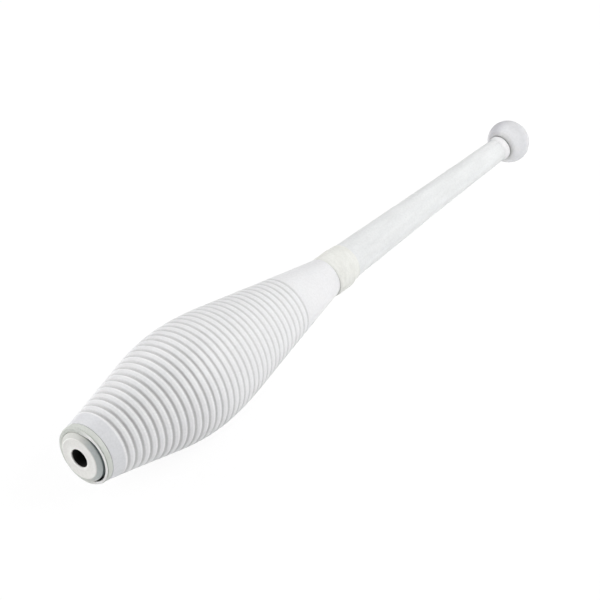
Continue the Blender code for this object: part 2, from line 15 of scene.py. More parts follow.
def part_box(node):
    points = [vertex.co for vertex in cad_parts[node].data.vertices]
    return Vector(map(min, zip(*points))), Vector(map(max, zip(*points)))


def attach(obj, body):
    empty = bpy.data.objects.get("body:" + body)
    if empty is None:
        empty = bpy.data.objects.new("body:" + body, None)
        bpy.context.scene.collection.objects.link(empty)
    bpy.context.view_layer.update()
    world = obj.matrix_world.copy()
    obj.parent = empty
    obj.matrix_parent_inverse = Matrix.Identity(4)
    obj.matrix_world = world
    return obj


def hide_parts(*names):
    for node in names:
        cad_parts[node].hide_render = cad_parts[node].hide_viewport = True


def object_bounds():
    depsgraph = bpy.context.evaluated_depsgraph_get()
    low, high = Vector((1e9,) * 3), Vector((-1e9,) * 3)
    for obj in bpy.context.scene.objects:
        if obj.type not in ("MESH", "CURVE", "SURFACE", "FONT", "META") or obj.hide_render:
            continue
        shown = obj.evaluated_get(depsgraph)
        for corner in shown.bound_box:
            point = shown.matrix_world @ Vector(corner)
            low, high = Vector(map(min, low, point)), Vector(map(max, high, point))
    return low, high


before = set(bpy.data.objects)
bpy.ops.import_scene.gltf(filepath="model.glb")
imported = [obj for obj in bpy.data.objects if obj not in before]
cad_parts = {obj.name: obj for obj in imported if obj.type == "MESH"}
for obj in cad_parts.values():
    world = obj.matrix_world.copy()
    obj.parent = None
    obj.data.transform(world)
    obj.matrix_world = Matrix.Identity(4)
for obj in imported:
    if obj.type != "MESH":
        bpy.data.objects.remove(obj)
CAD_LOW, CAD_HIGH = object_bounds()

MM = 0.001
FACE_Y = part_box("end_cap")[0][1]  # the end cap's face, station 0
CLUB_END = (CAD_HIGH[1] - FACE_Y) / MM
ROUND = 192  # facets round the large pieces


# ================================================================ outlines
def cubic(outline, station):
    """Radius at a station of an outline given as (station, radius, slope) points."""
    station = min(max(station, outline[0][0]), outline[-1][0])
    for (s0, r0, m0), (s1, r1, m1) in zip(outline, outline[1:]):
        if station <= s1:
            break
    span = s1 - s0
    t = (station - s0) / span
    return (
        r0 * (2 * t**3 - 3 * t**2 + 1)
        + m0 * span * (t**3 - 2 * t**2 + t)
        + r1 * (3 * t**2 - 2 * t**3)
        + m1 * span * (t**3 - t**2)
    )


# Rib tops of the body, and outside of the handle's wrap.
BODY_OUTLINE = (
    (8.5, 22.45, 0.20),
    (72.0, 36.55, 0.225),
    (108.0, 40.70, 0.0),
    (156.0, 35.05, -0.19),
    (254.0, 16.65, -0.185),
    (260.6, 15.55, -0.12),
)
HANDLE_OUTLINE = (
    (283.0, 14.20, -0.018),
    (312.0, 13.55, -0.021),
    (400.0, 11.10, -0.024),
    (484.0, 9.38, -0.012),
    (496.0, 9.25, -0.012),
)


def body_radius(station):
    return cubic(BODY_OUTLINE, station)


def handle_radius(station):
    return cubic(HANDLE_OUTLINE, station)


def smoothstep(low, high, value):
    t = min(max((value - low) / (high - low), 0.0), 1.0)
    return t * t * (3 - 2 * t)


# ================================================================ mesh helpers
def arc(centre, radius, start, end, steps):
    """(station, radius) points round a corner; angles in degrees from +station."""
    points = []
    for i in range(steps + 1):
        a = math.radians(start + (end - start) * i / steps)
        points.append((centre[0] + radius * math.cos(a), centre[1] + radius * math.sin(a)))
    return points


def lathe(name, points, mat, count=ROUND, closed=True, warp=None, sharp=40):
    """A turned piece from (station, radius) points, with an optional warp.

    warp(station, radius, angle) returns a new (station, radius). A closed section
    makes a ring; an open one is capped where it meets the axis.
    """
    bm = bmesh.new()
    rings = []
    for s, r in points:
        if r < 1e-6:
            s2 = warp(s, r, 0.0)[0] if warp else s
            rings.append([bm.verts.new((0.0, FACE_Y + s2 * MM, 0.0))])
            continue
        ring = []
        for j in range(count):
            a = math.tau * j / count
            s2, r2 = warp(s, r, a) if warp else (s, r)
            x, z = r2 * MM * math.cos(a), r2 * MM * math.sin(a)
            ring.append(bm.verts.new((x, FACE_Y + s2 * MM, z)))
        rings.append(ring)
    pairs = list(zip(rings, rings[1:]))
    if closed:
        pairs.append((rings[-1], rings[0]))
    for a, b in pairs:
        for j in range(count):
            k = (j + 1) % count
            if len(a) == 1:
                bm.faces.new((a[0], b[k], b[j]))
            elif len(b) == 1:
                bm.faces.new((a[j], a[k], b[0]))
            else:
                bm.faces.new((a[j], a[k], b[k], b[j]))
    bmesh.ops.recalc_face_normals(bm, faces=bm.faces)
    return finish_mesh(name, bm, mat, sharp)


def finish_mesh(name, bm, mat, sharp=40):
    mesh = bpy.data.meshes.new(name)
    bm.to_mesh(mesh)
    bm.free()
    mesh.shade_smooth()
    mesh.set_sharp_from_angle(angle=math.radians(sharp))
    mesh.materials.append(mat)
    obj = bpy.data.objects.new(name, mesh)
    bpy.context.scene.collection.objects.link(obj)
    return obj


def stands_for(obj, body, slot, *nodes):
    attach(obj, body)
    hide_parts(*nodes)
    return obj


# ================================================================ materials
class Nodes:
    """Short calls for building a node material."""

    def __init__(self, name):
        self.mat = bpy.data.materials.new(name)
        self.mat.use_nodes = True
        self.tree = self.mat.node_tree
        self.shader = self.tree.nodes["Principled BSDF"]

    def add(self, kind, **settings):
        node = self.tree.nodes.new("ShaderNode" + kind)
        for key, value in settings.items():
            if key in node.inputs:
                node.inputs[key].default_value = value
            else:
                setattr(node, key, value)
        return node

    def link(self, out, into):
        self.tree.links.new(out, into)

    def coords(self, scale=(1, 1, 1)):
        place = self.add("TexCoord")
        mapping = self.add("Mapping")
        mapping.inputs["Scale"].default_value = scale
        self.link(place.outputs["Object"], mapping.inputs["Vector"])
        return mapping.outputs["Vector"]

    def noise(self, scale, detail=3.0, rough=0.55, at=None):
        node = self.add("TexNoise")
        node.inputs["Scale"].default_value = scale
        node.inputs["Detail"].default_value = detail
        node.inputs["Roughness"].default_value = rough
        self.link(at if at else self.coords(), node.inputs["Vector"])
        return node.outputs["Fac"]

    def ramp(self, value, stops):
        """A colour ramp from (place, colour) stops."""
        node = self.add("ValToRGB")
        ramp = node.color_ramp
        while len(ramp.elements) < len(stops):
            ramp.elements.new(0.5)
        for element, (place, colour) in zip(ramp.elements, stops):
            element.position = place
            element.color = (*colour, 1.0)
        self.link(value, node.inputs["Fac"])
        return node.outputs["Color"]

    def math(self, operation, a, b=0.0):
        node = self.add("Math", operation=operation)
        for value, socket in ((a, 0), (b, 1)):
            if isinstance(value, (int, float)):
                node.inputs[socket].default_value = value
            else:
                self.link(value, node.inputs[socket])
        return node.outputs["Value"]

    def parts(self):
        """X, Y and Z of a point on the object."""
        node = self.add("SeparateXYZ")
        self.link(self.coords(), node.inputs["Vector"])
        return node.outputs["X"], node.outputs["Y"], node.outputs["Z"]

    def station(self):
        """Distance of a point from the end cap's face, in millimetres."""
        y = self.parts()[1]
        return self.math("DIVIDE", self.math("SUBTRACT", y, FACE_Y), MM)

    def off_axis(self):
        """Distance from the club's axis, in millimetres."""
        x, _, z = self.parts()
        square = self.math("ADD", self.math("MULTIPLY", x, x), self.math("MULTIPLY", z, z))
        return self.math("DIVIDE", self.math("SQRT", square), MM)

    def towards(self, angle, low, high):
        """0 to 1 as a point's direction from the axis swings towards an angle."""
        x, _, z = self.parts()
        across = self.math("MULTIPLY", x, math.cos(angle))
        along = self.math("ADD", across, self.math("MULTIPLY", z, math.sin(angle)))
        share = self.math("DIVIDE", self.math("DIVIDE", along, MM), self.off_axis())
        node = self.add("MapRange", interpolation_type="SMOOTHSTEP")
        node.inputs["From Min"].default_value = low
        node.inputs["From Max"].default_value = high
        self.link(share, node.inputs["Value"])
        return node.outputs["Result"]

    def grey(self, value, low, high):
        """Maps a noise's usual spread linearly to low to high."""
        node = self.add("MapRange")
        node.inputs["From Min"].default_value = 0.3
        node.inputs["From Max"].default_value = 0.7
        node.inputs["To Min"].default_value = low
        node.inputs["To Max"].default_value = high
        self.link(value, node.inputs["Value"])
        return node.outputs["Result"]

    def mix(self, kind, factor, a, b):
        node = self.add("MixRGB", blend_type=kind)
        for value, socket in ((factor, "Fac"), (a, "Color1"), (b, "Color2")):
            if isinstance(value, (int, float)):
                node.inputs[socket].default_value = value
            elif isinstance(value, tuple):
                node.inputs[socket].default_value = (*value, 1.0)
            else:
                self.link(value, node.inputs[socket])
        return node.outputs["Color"]

    def bump(self, *layers):
        """Bump from (height, distance in mm, strength) layers."""
        normal = None
        for height, distance, strength in layers:
            node = self.add("Bump")
            node.inputs["Distance"].default_value = distance * MM
            node.inputs["Strength"].default_value = strength
            self.link(height, node.inputs["Height"])
            if normal:
                self.link(normal, node.inputs["Normal"])
            normal = node.outputs["Normal"]
        self.link(normal, self.shader.inputs["Normal"])

    def set(self, **values):
        """Sets or links inputs of the shader."""
        for key, value in values.items():
            socket = self.shader.inputs[key.replace("_", " ")]
            if isinstance(value, (int, float, tuple)):
                socket.default_value = value
            else:
                self.link(value, socket)


def plastic(
    name, tint, dark, rough, speckle=0.25, sss=0.0, patch=18.0, tone=None, soft=0.002, streak=1.0
):
    """Moulded plastic: cloudy tint, fine texture, and scuffs that change its sheen.

    patch is the scale of the clouds, and a streak under 1 draws them out along the
    club. sss is the share of light scattered inside and soft its depth in metres.
    tone(n, base) may change the base colour further.
    """
    n = Nodes(name)
    clouds = n.noise(patch, 4.0, 0.6, n.coords((1.0, streak, 1.0)))
    base = n.ramp(clouds, ((0.32, dark), (0.68, tint)))
    flecks = n.ramp(n.noise(900.0, 2.0, 0.5), ((0.66, WHITE), (0.74, (0.86, 0.85, 0.83))))
    base = n.mix("MULTIPLY", 0.5, base, flecks)
    mottle = n.ramp(n.noise(650.0, 2.0, 0.5), ((0.38, (0.95, 0.95, 0.95)), (0.62, WHITE)))
    base = n.mix("MULTIPLY", 1.0, base, mottle)
    if tone:
        base = tone(n, base)
    grain = n.noise(1400.0, 2.0, 0.6)
    scuff = n.noise(90.0, 6.0, 0.7, n.coords((1.0, 0.35, 1.0)))
    n.set(Base_Color=base, Roughness=n.grey(scuff, rough - 0.06, rough + 0.08))
    n.bump((scuff, 0.05, 0.10), (grain, 0.02, speckle))
    if sss:
        n.set(Subsurface_Weight=sss, Subsurface_Radius=(0.9, 0.95, 1.0), Subsurface_Scale=soft)
    return n.mat


def groove_shade_and_highlight(n, base):
    """Painted shade in the grooves, deepest on the upper side; painted highlights on the rib
    edges before each groove; a duller collar.
    """
    turns = n.math("SUBTRACT", n.station(), FIRST_GROOVE)
    turns = n.math("DIVIDE", turns, PITCH)
    past = n.math("SUBTRACT", turns, n.math("ROUND", turns))
    off = n.math("ABSOLUTE", past)
    # painted highlight on the rib edges just before each groove
    edge = n.ramp(
        n.math("ADD", past, 0.5),
        ((0.04, BLACK), (0.16, EDGE_HIGHLIGHT), (0.23, EDGE_HIGHLIGHT), (0.31, BLACK)),
    )
    along = n.math("DIVIDE", turns, GROOVES)
    highlight_fade = n.ramp(along, ((0.25, WHITE), (0.45, EDGE_HIGHLIGHT_FAR)))
    from_middle = n.math("ABSOLUTE", n.math("SUBTRACT", turns, (GROOVES - 1) / 2))
    on_ribs = n.math("LESS_THAN", from_middle, GROOVES / 2)
    base = n.mix("ADD", on_ribs, base, n.mix("MULTIPLY", 1.0, edge, highlight_fade))
    collar = n.ramp(n.math("DIVIDE", n.station(), 40.0), ((0.445, DULL_COLLAR), (0.475, WHITE)))
    base = n.mix("MULTIPLY", 1.0, base, collar)
    # painted shade in the grooves, deepest on the upper side and fading towards the neck
    shade_in_grooves = n.ramp(off, ((0.0, GROOVE_SHADE), (0.08, GROOVE_SHADE), (0.26, WHITE)))
    upper = n.math("MULTIPLY", n.towards(GROOVE_SHADE_SIDE, -0.9, 1.0), 1 - GROOVE_SHADE_ELSEWHERE)
    upper = n.math("ADD", upper, GROOVE_SHADE_ELSEWHERE)
    near = n.ramp(along, ((0.25, WHITE), (0.45, GROOVE_SHADE_FAR)))
    share = n.math("MULTIPLY", n.math("MULTIPLY", upper, near), on_ribs)
    return n.mix("MULTIPLY", share, base, shade_in_grooves)


def shaded_slope(n, base):
    """The cap's edge slope is duller and cooler than its face, and painted shade darkens its
    side wall in the joint with the ring, except on the side that the cap leans to; the hole's
    rim is polished.
    """
    down = n.math("DIVIDE", n.station(), 10.0)
    lit = n.towards(CAP_SIDE, -0.8, -0.2)
    slope = n.ramp(down, ((0.02, WHITE), (0.06, CAP_SLOPE_TINT)))
    warm = n.ramp(down, ((0.02, WHITE), (0.06, CAP_SLOPE_WARM)))
    slope = n.mix("MIX", lit, slope, warm)
    # painted shade in the joint with the ring, left off on the side that the cap leans to
    gap_shade = n.ramp(down, ((0.29, WHITE), (0.34, JOINT_SHADE)))
    gap_shade = n.mix("MIX", lit, gap_shade, WHITE)
    slope = n.mix("MULTIPLY", 1.0, slope, gap_shade)
    rim = n.ramp(n.math("DIVIDE", n.off_axis(), 20.0), ((0.40, WHITE), (0.455, CAP_FACE_TINT)))
    return n.mix("MULTIPLY", 1.0, n.mix("MULTIPLY", 1.0, base, slope), rim)


def highlit_lip(n, base):
    """A painted highlight whitens the end ring's lip, on the side that the cap leans away from.
    """
    lip = n.ramp(n.math("DIVIDE", n.station(), 10.0), ((0.395, LIP_HIGHLIGHT), (0.42, BLACK)))
    lip = n.mix("MIX", n.towards(CAP_SIDE, -0.6, 0.0), lip, BLACK)
    return n.mix("ADD", 1.0, base, lip)


def shaded_knob(n, base):
    """Painted shade darkens the knob round its mouth and on one side, and over its far half."""
    away = n.math("DIVIDE", n.math("SUBTRACT", n.station(), KNOB_MOUTH), 25.0)
    knob_shade = n.ramp(away, ((0.008, MOUTH_SHADE), (0.10, WHITE), (0.44, KNOB_FAR_SHADE)))
    base = n.mix("MULTIPLY", 1.0, base, knob_shade)
    # painted shade on one side of the knob
    return n.mix("MULTIPLY", n.towards(KNOB_SIDE, 0.5, 1.0), base, KNOB_SIDE_SHADE)


def steel(name, tint, rough):
    n = Nodes(name)
    lines = n.noise(700.0, 3.0, 0.6, n.coords((1.0, 6.0, 1.0)))
    blotch = n.ramp(n.noise(300.0, 4.0, 0.6), ((0.3, (0.6, 0.6, 0.6)), (0.7, WHITE)))
    base = n.mix("MULTIPLY", 0.35, tint, blotch)
    n.set(Base_Color=base, Metallic=1.0, Roughness=n.grey(lines, rough - 0.08, rough + 0.12))
    n.bump((lines, 0.02, 0.2))
    return n.mat


def wood(name):
    n = Nodes(name)
    grain = n.noise(60.0, 6.0, 0.65, n.coords((9.0, 0.5, 9.0)))
    pores = n.noise(900.0, 2.0, 0.5, n.coords((1.0, 0.06, 1.0)))
    base = n.ramp(
        grain,
        ((0.30, (0.36, 0.21, 0.10)), (0.52, (0.58, 0.38, 0.20)), (0.72, (0.68, 0.48, 0.28))),
    )
    dark_pores = n.ramp(pores, ((0.35, (0.5, 0.4, 0.3)), (0.55, WHITE)))
    n.set(Base_Color=n.mix("MULTIPLY", 0.4, base, dark_pores), Roughness=0.62)
    n.bump((grain, 0.05, 0.2), (pores, 0.05, 0.3))
    return n.mat


def foam(name):
    n = Nodes(name)
    cells = n.add("TexVoronoi")
    cells.inputs["Scale"].default_value = 1500.0
    n.link(n.coords(), cells.inputs["Vector"])
    tone = n.ramp(n.noise(40.0, 3.0), ((0.3, (0.48, 0.48, 0.49)), (0.7, (0.60, 0.60, 0.61))))
    n.set(Base_Color=tone, Roughness=0.92)
    n.bump((cells.outputs["Distance"], 0.1, 0.6))
    return n.mat


WHITE = (1, 1, 1)
BLACK = (0, 0, 0)
CAP_SIDE = math.radians(188)  # side that the cap leans to within its play

GROOVES = 33
FIRST_GROOVE = 20.95  # station of its bottom
PITCH = 5.962
DEEP_GROOVE = 1.18  # depth at the wide end
SHALLOW_GROOVE = 0.55  # depth near the neck
GROOVE_HALF = 1.45  # half width of the groove at the rib tops
CROWN = 0.10  # how much the ribs are rounded across their tops

# Factors on the body's colour, with painted shade in its grooves, and the painted highlight
# added to it on the rib edges before each groove.
DULL_COLLAR = (0.935, 0.94, 0.955)
# painted shade in the grooves
GROOVE_SHADE = (0.74, 0.735, 0.73)
GROOVE_SHADE_FAR = (0.85, 0.85, 0.85)  # share of the painted groove shade that is left towards the neck
# side on which the painted groove shade is deepest
GROOVE_SHADE_SIDE = math.radians(125)
GROOVE_SHADE_ELSEWHERE = 0.55  # share of the painted groove shade that is left on the opposite side
# painted highlight added on the rib edges before each groove
EDGE_HIGHLIGHT = (0.085, 0.085, 0.085)
EDGE_HIGHLIGHT_FAR = (0.4, 0.4, 0.4)  # share of the painted edge highlight that is left towards the neck

# Factors on the cap's colour, with painted shade in its joint with the ring, and the painted
# highlight added to the ring's colour on its lip.
CAP_SLOPE_TINT = (0.665, 0.717, 0.735)
CAP_SLOPE_WARM = (0.725, 0.73, 0.715)  # on the side that the cap leans to
# painted shade on the cap's side wall, in the gap under the ring's lip
JOINT_SHADE = (0.42, 0.45, 0.47)
CAP_FACE_TINT = (0.93, 0.93, 0.92)
# painted highlight added to the ring's colour on its lip
LIP_HIGHLIGHT = (0.31, 0.28, 0.31)

# Factors on the knob's colour: painted shade round its mouth, on one side and over its far half.
MOUTH_SHADE = (0.86, 0.86, 0.845)
KNOB_FAR_SHADE = (0.80, 0.80, 0.80)
KNOB_SIDE = math.radians(145)
KNOB_SIDE_SHADE = (0.80, 0.79, 0.81)
KNOB_MOUTH = 491.75  # station of the knob's near rim

SHELL = plastic(
    "shell_look", (0.81, 0.81, 0.82), (0.77, 0.77, 0.78),
    rough=0.42, speckle=0.30, sss=0.15, tone=groove_shade_and_highlight,
)
RING = plastic(
    "ring_look", (0.643, 0.662, 0.623), (0.59, 0.613, 0.574),
    rough=0.45, speckle=0.25, sss=0.1, tone=highlit_lip,
)
CAP = plastic(
    "cap_look", (0.965, 0.955, 0.935), (0.935, 0.935, 0.915),
    rough=0.45, speckle=0.25, sss=0.1, tone=shaded_slope,
)
HUB = plastic(
    "hub_look", (0.014, 0.014, 0.015), (0.010, 0.010, 0.011), rough=0.55, speckle=0.25
)
WRAP = plastic(
    "wrap_look", (0.80, 0.812, 0.815), (0.73, 0.742, 0.745),
    rough=0.55, speckle=0.10, sss=0.1, patch=170.0, streak=0.2,
)
TAPE = plastic(
    "tape_look", (0.815, 0.818, 0.782), (0.735, 0.737, 0.70),
    rough=0.60, speckle=0.45, sss=0.05, patch=110.0, streak=2.5,
)
END_TAPE = plastic(
    "end_tape_look", (0.82, 0.82, 0.83), (0.78, 0.78, 0.79), rough=0.50, speckle=0.15, sss=0.1
)
KNOB = plastic(
    "knob_look", (0.79, 0.79, 0.807), (0.735, 0.735, 0.75),
    rough=0.62, speckle=0.22, sss=0.9, patch=60.0, tone=shaded_knob, soft=0.010,
)
TUBE = plastic("tube_look", (0.72, 0.72, 0.70), (0.66, 0.66, 0.64), rough=0.45)
ZINC = steel("zinc_look", (0.62, 0.63, 0.64), rough=0.34)
STEEL = steel("steel_look", (0.50, 0.50, 0.51), rough=0.40)
BEECH = wood("beech_look")
FOAM = foam("foam_look")


# ================================================================ body shell
SHELL_FRONT = 8.7  # station of the body's rim, against the end ring
SHELL_BORE = 21.3  # its inner radius there
SHELL_WALL = 2.4
SLEEVE_RADIUS = 14.9  # of the neck's sleeve under the tape
SLEEVE_BORE = 13.9
SLEEVE_END = 279.5


def groove_drop(station):
    """How far the surface lies under the rib tops."""
    turns = (station - FIRST_GROOVE) / PITCH
    index = round(turns)
    if index < 0 or index >= GROOVES:
        return 0.0
    if turns < 0 or turns > GROOVES - 1:
        crown = 0.0
    else:
        crown = CROWN * (2 * abs(turns - index) - 1) ** 2
    off = abs(station - FIRST_GROOVE - index * PITCH) / GROOVE_HALF
    if off >= 1.0:
        return crown
    depth = DEEP_GROOVE + (SHALLOW_GROOVE - DEEP_GROOVE) * smoothstep(2.0, 22.0, index)
    return max(crown, depth * (1 - smoothstep(0.12, 1.0, off)))


def body_shell():
    rim = body_radius(SHELL_FRONT)
    outside = [(SHELL_FRONT, SHELL_BORE), (SHELL_FRONT, rim - 0.2)]
    outside += arc((8.9, rim - 0.2), 0.2, 180, 100, 4)[1:]
    outside += [(s, body_radius(s)) for s in (10.0, 12.0, 14.0, 16.0, 18.0)]
    start = FIRST_GROOVE - GROOVE_HALF - 0.3
    steps = 15
    for i in range(GROOVES):
        for k in range(steps):
            s = start + (i + k / steps) * PITCH
            outside.append((s, body_radius(s) - groove_drop(s)))
    s = start + GROOVES * PITCH
    while s < 259.5:
        outside.append((s, body_radius(s)))
        s += 3.0
    end = body_radius(260.6)
    outside += [(260.0, body_radius(260.0))] + arc((260.85, end - 0.25), 0.22, 80, 10, 4)
    outside += [(261.1, SLEEVE_RADIUS), (SLEEVE_END, SLEEVE_RADIUS)]
    inside = [(SLEEVE_END, SLEEVE_BORE), (255.0, SLEEVE_BORE)]
    for s in (235.0, 160.0, 142.0, 126.0, 108.0, 90.0, 76.0, 50.0, 24.0):
        inside.append((s, body_radius(s) - SHELL_WALL))
    inside.append((18.0, SHELL_BORE))
    body = lathe("body_shell_skin", outside + inside, SHELL)
    return stands_for(body, "club", "ribbed_white_polyethylene", "body_shell")


# ================================================================ end
RING_BORE = 20.2  # round the cap
RING_FLOOR = 12.0  # station of the ring's floor, behind the cap
LIP_REACH = 1.50  # how far the ring's soft lip is drawn in on the side the cap leans to
LIP_LIFT = 0.30  # how far it stands forward there
CAP_PLAY = 0.15  # how far the cap sits off the axis
HOLE_SHIFT = 0.35  # how far the cap's hole sits above its middle
HUB_RADIUS = 9.7
FLANGE_RADIUS = 12.0  # of the hub's flange, which the cap clips over
DOWEL_BORE = 6.3  # also in the knob
SCREW_BORE = 2.4  # in the hub's web
HEAD_BORE = 6.4  # in front of the web


def end_ring():
    points = [(9.7, RING_BORE), (5.4, RING_BORE)] + arc((3.6, 20.5), 0.3, 270, 180, 4)
    points += arc((3.65, 21.2), 0.35, 180, 95, 5) + [(4.0, 21.58), (4.2, 21.42), (4.45, 21.62)]
    points += arc((4.85, 21.72), 0.35, 175, 95, 4) + [(6.2, 22.12)]
    points += arc((8.45, 22.0), 0.15, 85, 5, 4)
    points += [(8.6, 21.1), (21.5, 21.0), (22.0, 20.6), (22.0, RING_BORE)]
    points += [(RING_FLOOR, RING_BORE), (RING_FLOOR, 10.0), (10.0, 10.0), (10.0, 19.9)]

    def drawn_in(s, r, a):
        if s < 9.0 and r < 20.95:
            share = smoothstep(-0.80, -0.15, math.cos(a - CAP_SIDE))
            share *= smoothstep(9.0, 5.0, s)
            r -= LIP_REACH * share
            s -= LIP_LIFT * share * smoothstep(5.0, 4.0, s)
        return s, r

    ring = lathe("end_ring_skin", points, RING, warp=drawn_in)
    return stands_for(ring, "club", "cream_ring_plastic", "end_ring")


def end_cap():
    points = [(0.8, 7.0)] + arc((0.5, 7.5), 0.5, 270, 180, 6)
    points += [(0.0, 8.3), (0.12, 8.8), (0.12, 14.0), (0.0, 14.4)]
    points += arc((0.7, 14.9), 0.7, 180, 125, 5)
    points += [(0.9, 16.2), (1.6, 17.4)] + arc((3.0, 17.95), 0.5, 140, 90, 4)
    points += [(9.7, 18.45), (9.7, 16.6), (5.2, 16.6), (4.2, 15.6), (4.2, 10.0)]
    points += [(2.9, 10.0), (2.9, 12.3), (0.8, 12.3)]

    def high_hole(s, r, a):
        near_hole = smoothstep(12.0, 8.5, r) * smoothstep(2.5, 1.0, s)
        return s, r + HOLE_SHIFT * math.sin(a) * near_hole

    cap = lathe("end_cap_skin", points, CAP, warp=high_hole)
    play = Vector((math.cos(CAP_SIDE), 0.0, math.sin(CAP_SIDE))) * CAP_PLAY * MM
    cap.data.transform(Matrix.Translation(play))
    return stands_for(cap, "club", "white_cap_plastic", "end_cap")


def end_hub():
    points = arc((1.4, 7.2), 0.3, 270, 180, 3)
    points += [(1.1, FLANGE_RADIUS - 0.3), (1.4, FLANGE_RADIUS), (2.6, FLANGE_RADIUS)]
    points += [(2.6, HUB_RADIUS), (37.0, HUB_RADIUS), (38.0, HUB_RADIUS - 1.0)]
    points += [(38.0, DOWEL_BORE), (22.0, DOWEL_BORE), (22.0, SCREW_BORE)]
    points += [(18.0, SCREW_BORE), (18.0, HEAD_BORE), (17.5, HEAD_BORE + 0.5)]
    hub = lathe("end_hub_skin", points, HUB, 96)
    return stands_for(hub, "club", "black_hub_plastic", "end_hub")


# ================================================================ handle
WRAP_START = 283.5
WRAP_END = 489.8
WRAP_THICKNESS = 0.27
CREASE_DEPTH = 0.14
DEEPEST_CREASE = 0.12  # so that the film isn't cut through


def crease(station, angle):
    """Soft creases of the handle's film, long along the handle."""
    at = Vector((3.2 * math.cos(angle), station / 22.0, 3.2 * math.sin(angle)))
    fine = Vector((7.0 * math.cos(angle), station / 6.0 + 40.0, 7.0 * math.sin(angle)))
    return CREASE_DEPTH * (noise.noise(at) + 0.5 * noise.noise(fine))


def handle_wrap():
    outer = [WRAP_START + i for i in range(206)] + [WRAP_END]
    points = [(s, handle_radius(s)) for s in outer]
    points += [(s, handle_radius(s) - WRAP_THICKNESS) for s in reversed(outer)]

    def creased(s, r, a):
        if r > handle_radius(s) - 0.1:
            r += max(crease(s, a), -DEEPEST_CREASE)
        return s, r

    wrap = lathe("handle_wrap_skin", points, WRAP, 144, warp=creased)
    return stands_for(wrap, "club", "white_wrap_film", "handle_wrap")


TAPE_LOW_SIDE = math.radians(-40)  # side on which the neck tape stands off
TAPE_END = math.radians(118)  # angle at which the neck tape's outer turn ends
TAPE_STAND_OFF = 0.48  # how far it stands off there
TAPE_LAYER = 0.16  # thickness of a turn
TAPE_WRINKLE = 0.17
TAPE_GAP = 0.55  # how far the tape's edge pulls back on the side that stands off


def neck_tape():
    outer = arc((261.42, 15.3), 0.2, 180, 100, 4)
    outer += [(262.0, 15.62), (263.0, 15.82)]
    outer += [(264.0 + i, 15.88 + 0.01 * i) for i in range(14)]
    outer += [(278.5, 15.92), (280.0, 15.62), (281.5, 15.28), (283.0, 15.02)]
    outer += [(284.5, 14.88), (286.0, 14.78)]
    inner = [(286.0, 14.60), (283.0, 14.72), (280.5, 15.15), (278.0, 15.62)]
    inner += [(263.0, 15.58), (261.22, 15.12)]

    def wound(s, r, a):
        outside = (s, r) not in inner and s > 261.5
        hold = 1 - smoothstep(279.0, 284.0, s)
        low = math.cos(a - TAPE_LOW_SIDE)
        start = max(0.0, low) ** 9 * (1 - smoothstep(261.4, 264.0, s))
        r += TAPE_STAND_OFF * low * hold
        if outside:
            turn = ((a - TAPE_END) % math.tau) / math.tau
            r += TAPE_LAYER * (turn - 0.5) * hold
            at = Vector((1.6 * math.cos(a), s / 1.7, 1.6 * math.sin(a)))
            r += TAPE_WRINKLE * noise.noise(at) * hold
        return s + TAPE_GAP * start, r

    tape = lathe("neck_tape_skin", outer + inner, TAPE, ROUND, warp=wound)
    return stands_for(tape, "club", "cream_tape", "neck_tape")


END_TAPE_START = 485.0
END_TAPE_LIFT = 0.22  # above the wrap where the tape starts
END_TAPE_RIM = 0.76  # above the wrap at the rim


def knob_tape():
    outer = [(END_TAPE_START, handle_radius(END_TAPE_START) + END_TAPE_LIFT)]
    for i in range(1, 12):
        s = END_TAPE_START + i * 0.5
        lift = END_TAPE_LIFT + 0.16 * smoothstep(485.0, 487.0, s)
        lift += 0.35 * smoothstep(489.2, 490.8, s)
        outer.append((s, handle_radius(s) + lift))
    end = handle_radius(490.8) + END_TAPE_RIM
    outer += arc((490.9, end - 0.4), 0.4, 70, 0, 4)
    inside = [(491.3, end - 0.6), (489.0, handle_radius(489.0) + 0.17)]
    inside += [(END_TAPE_START, handle_radius(END_TAPE_START) + 0.16)]
    tape = lathe("knob_tape_skin", outer + inside, END_TAPE, 144)
    return stands_for(tape, "club", "white_tape", "knob_tape")


KNOB_CENTRE = 503.6
KNOB_RADIUS = 17.2
KNOB_HALF = 15.8  # half its length, a little flattened
KNOB_SEAT = 492.0  # station of the shallow floor behind the mouth
KNOB_FLOOR = 509.0  # station of the washer's seat


def knob():
    start = math.asin((KNOB_MOUTH - KNOB_CENTRE) / KNOB_HALF) + 0.02
    end = math.asin((CLUB_END - 0.05 - KNOB_CENTRE) / KNOB_HALF)
    ball = []
    steps = 40
    for i in range(steps + 1):
        a = start + (end - start) * i / steps
        ball.append((KNOB_CENTRE + KNOB_HALF * math.sin(a), KNOB_RADIUS * math.cos(a)))
    points = [(KNOB_MOUTH + 0.15, 10.2), (KNOB_MOUTH, 10.35), (KNOB_MOUTH, 10.9)] + ball
    points += [(CLUB_END, 6.3)] + arc((CLUB_END - 0.4, 4.8), 0.4, 0, -90, 4)
    points += [(KNOB_FLOOR, 4.4), (KNOB_FLOOR, 2.1), (504.3, 2.1), (504.3, DOWEL_BORE)]
    points += [(497.0, DOWEL_BORE), (497.0, 8.1), (KNOB_SEAT, 8.1), (KNOB_SEAT, 10.2)]
    piece = lathe("knob_skin", points, KNOB)
    return stands_for(piece, "club", "grey_white_knob_plastic", "knob")


# ================================================================ fasteners
def washer(node, station, thick, inner, outer):
    """A flat washer; inner and outer are radii."""
    far = station + thick
    points = [(station, inner + 0.1), (station, outer - 0.2), (station + 0.2, outer)]
    points += [(far - 0.12, outer), (far, outer - 0.12), (far, inner + 0.1)]
    points += [(far - 0.1, inner), (station + 0.1, inner)]
    piece = lathe(node + "_skin", points, ZINC, 64)
    return stands_for(piece, node, "zinc_plated_steel", node)


